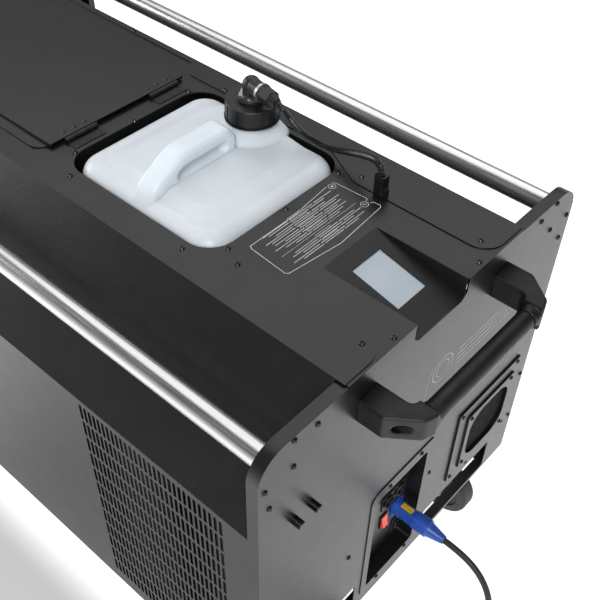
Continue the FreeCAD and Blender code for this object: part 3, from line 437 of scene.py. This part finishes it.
def deck_print():
    """A thin outline with two round marks and groups of plain bars, drawn as (x, y)."""
    mesh = bmesh.new()
    outline_width, bar_width, box_width = 0.9, 1.0, 0.6
    strip(mesh, [(272, 67), (280, -3), (280, -79), (284, -81.5), (341, -86), (344, -83.5),
                 (354, -3), (353.5, 4), (347, 82), (344, 85), (334.5, 84), (332, 80)],
          outline_width, DECK_Z)
    strip(mesh, [(272, 78.5), (275, 81.5), (324, 84), (326.5, 79.5)], outline_width, DECK_Z)
    for x in (276.5, 329):
        strip(mesh, ring_points(x, 73, 5), 0.8, DECK_Z, True)
    strip(mesh, [(276.5, 71), (276.5, 75)], 3.2, DECK_Z)
    strip(mesh, [(327, 71.5), (331, 74.5)], 1.4, DECK_Z)
    strip(mesh, [(319.5, 67), (319.5, -68)], 0.5, DECK_Z)
    bar_pitch = 3.4
    box_half_length, box_half_depth = 13, 1.7
    box_gap = 1.2                   # from the middle of a box to the first bar of its group
    groups = ((281, (62, 50)), (289.5, (44, 66, 58)), (301, (60, 48, 64)), (312, (52, 40)),
              (326, (54, 62, 46)), (337, (64, 50)))
    for start, half_lengths in groups:
        for k, half in enumerate(half_lengths):
            x = start + bar_pitch * k
            shift = (half % 7) - 3
            for y0, y1 in ((-half, -half * 0.3), (-half * 0.26, half * 0.42), (half * 0.46, half)):
                strip(mesh, [(x, y0 + shift), (x, y1 + shift)], bar_width, DECK_Z)
        near, far = start - box_gap - box_half_depth, start - box_gap + box_half_depth
        strip(mesh, [(near, -box_half_length), (near, box_half_length), (far, box_half_length),
                     (far, -box_half_length)], box_width, DECK_Z, True)
    return printed("deck_print", mesh)


def plate_print():
    """A round mark and plain bars, drawn as (y, z) on the end plate under the deck's notch."""
    mesh = bmesh.new()
    for radius in (21, 13):
        strip(mesh, ring_points(27, 555, radius), 1.3, 0, True)
    for height, ends in ((561, (62, 150)), (552, (60, 172)), (543, (60, 188)), (534, (62, 205))):
        strip(mesh, [(ends[0], height), (ends[1], height)], 1.5, 0)
    strip(mesh, [(-4, 520), (-4, 545), (3, 572)], 0.9, 0)
    data = printed("plate_print", mesh)
    plate_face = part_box("rear_end_plate")[1].x + PRINT_LIFT
    upright = Matrix(((0, 0, 1, plate_face), (1, 0, 0, 0), (0, 1, 0, 0), (0, 0, 0, 1)))
    data.transform(upright)
    return data


add("deck_print", deck_print(), print_ink, "body")
add("plate_print", plate_print(), print_ink, "body")

# ---- floor and lights ------------------------------------------------------------------------


def plane(name, size, material):
    """A level square at height 0, its side in metres."""
    mesh = bpy.data.meshes.new(name)
    half = size / 2
    corners = [(-half, -half, 0), (half, -half, 0), (half, half, 0), (-half, half, 0)]
    mesh.from_pydata(corners, [], [(0, 1, 2, 3)])
    piece = bpy.data.objects.new(name, mesh)
    mesh.materials.append(material)
    scene.collection.objects.link(piece)
    return piece


# The floor gives some light of its own. A soft patch beside the near side is a painted shadow:
# there the floor gives less light and its colour is darker, so that the side panel reflects
# something darker there.
floor_surface = Surface("floor_with_painted_shadow")
floor_surface.set(Roughness=0.9, Emission_Color=(1, 1, 1, 1))
floor_tree = floor_surface.tree
floor_place = floor_tree.nodes.new("ShaderNodeSeparateXYZ")
floor_tree.links.new(floor_surface.coordinates.outputs["Object"], floor_place.inputs["Vector"])


def soft_step(tree, source, start, end, low, high):
    """A soft change from low to high while the source goes from start to end."""
    node = tree.nodes.new("ShaderNodeMapRange")
    node.interpolation_type = "SMOOTHSTEP"
    node.inputs["From Min"].default_value, node.inputs["From Max"].default_value = start, end
    node.inputs["To Min"].default_value, node.inputs["To Max"].default_value = low, high
    tree.links.new(source, node.inputs["Value"])
    return node.outputs["Result"]


def floor_fade(axis, start, end, low, high):
    """A soft change between two distances, in metres, along one axis of the floor."""
    return soft_step(floor_tree, floor_place.outputs[axis], start, end, low, high)


def larger(first, second):
    """The larger of two values on the floor."""
    node = floor_tree.nodes.new("ShaderNodeMath")
    node.operation = "MAXIMUM"
    floor_tree.links.new(first, node.inputs[0])
    floor_tree.links.new(second, node.inputs[1])
    return node.outputs["Value"]


# Painted shadow: where the floor is neither past the ends nor past the sides, it glows less and is
# coloured darker.
past_the_ends = larger(floor_fade("X", -0.62, -0.05, 1, 0), floor_fade("X", 0.3, 0.6, 0, 1))
past_the_sides = larger(floor_fade("Y", -0.36, -0.26, 0, 1), floor_fade("Y", -0.85, -0.5, 1, 0))
outside_painted_shadow = larger(past_the_ends, past_the_sides)
WHOLE = (0, 1)                              # the ramp uses the whole range, from patch to floor
floor_surface.ramp(outside_painted_shadow, 0.22, 0.7, "Emission Strength", WHOLE)
floor_surface.ramp(outside_painted_shadow, (0.44, 0.44, 0.44), (0.85, 0.85, 0.85), "Base Color", WHOLE)
plane("floor", 24, floor_surface.material)

# The studio's walls are pale near the horizon and dim overhead, where only the softboxes shine.
WALL_LIGHT, CEILING_LIGHT = 0.6, 0.14
WALL_TOP, CEILING_START = 0.12, 0.38        # heights on a sphere of radius 1
world = bpy.data.worlds.new("studio")
scene.world = world
world.use_nodes = True
studio = world.node_tree
studio_way = studio.nodes.new("ShaderNodeTexCoord")
studio_height = studio.nodes.new("ShaderNodeSeparateXYZ")
studio.links.new(studio_way.outputs["Generated"], studio_height.inputs["Vector"])
studio_light = soft_step(studio, studio_height.outputs["Z"], WALL_TOP, CEILING_START,
                         WALL_LIGHT, CEILING_LIGHT)
background = studio.nodes["Background"]
studio.links.new(studio_light, background.inputs["Strength"])
background.inputs["Color"].default_value = (1, 1, 1, 1)


def softbox(name, position, target, width, height, power):
    """A rectangular lamp that points at the target."""
    data = bpy.data.lights.new(name, "AREA")
    data.shape = "RECTANGLE"
    data.size = width
    data.size_y = height
    data.energy = power
    lamp = bpy.data.objects.new(name, data)
    lamp.location = position
    way = Vector(target) - Vector(position)
    lamp.rotation_euler = way.to_track_quat("-Z", "Y").to_euler()
    scene.collection.objects.link(lamp)


softbox("top_light", (-0.9, 1.2, 3.4), (0, 0.1, 0.4), 4.0, 3.2, 55)
softbox("left_light", (-3.4, -1.2, 1.7), (0, 0, 0.4), 1.6, 1.8, 60)
softbox("key_light", (1.9, -2.2, 3.2), (0, 0, 0.5), 1.6, 1.6, 110)
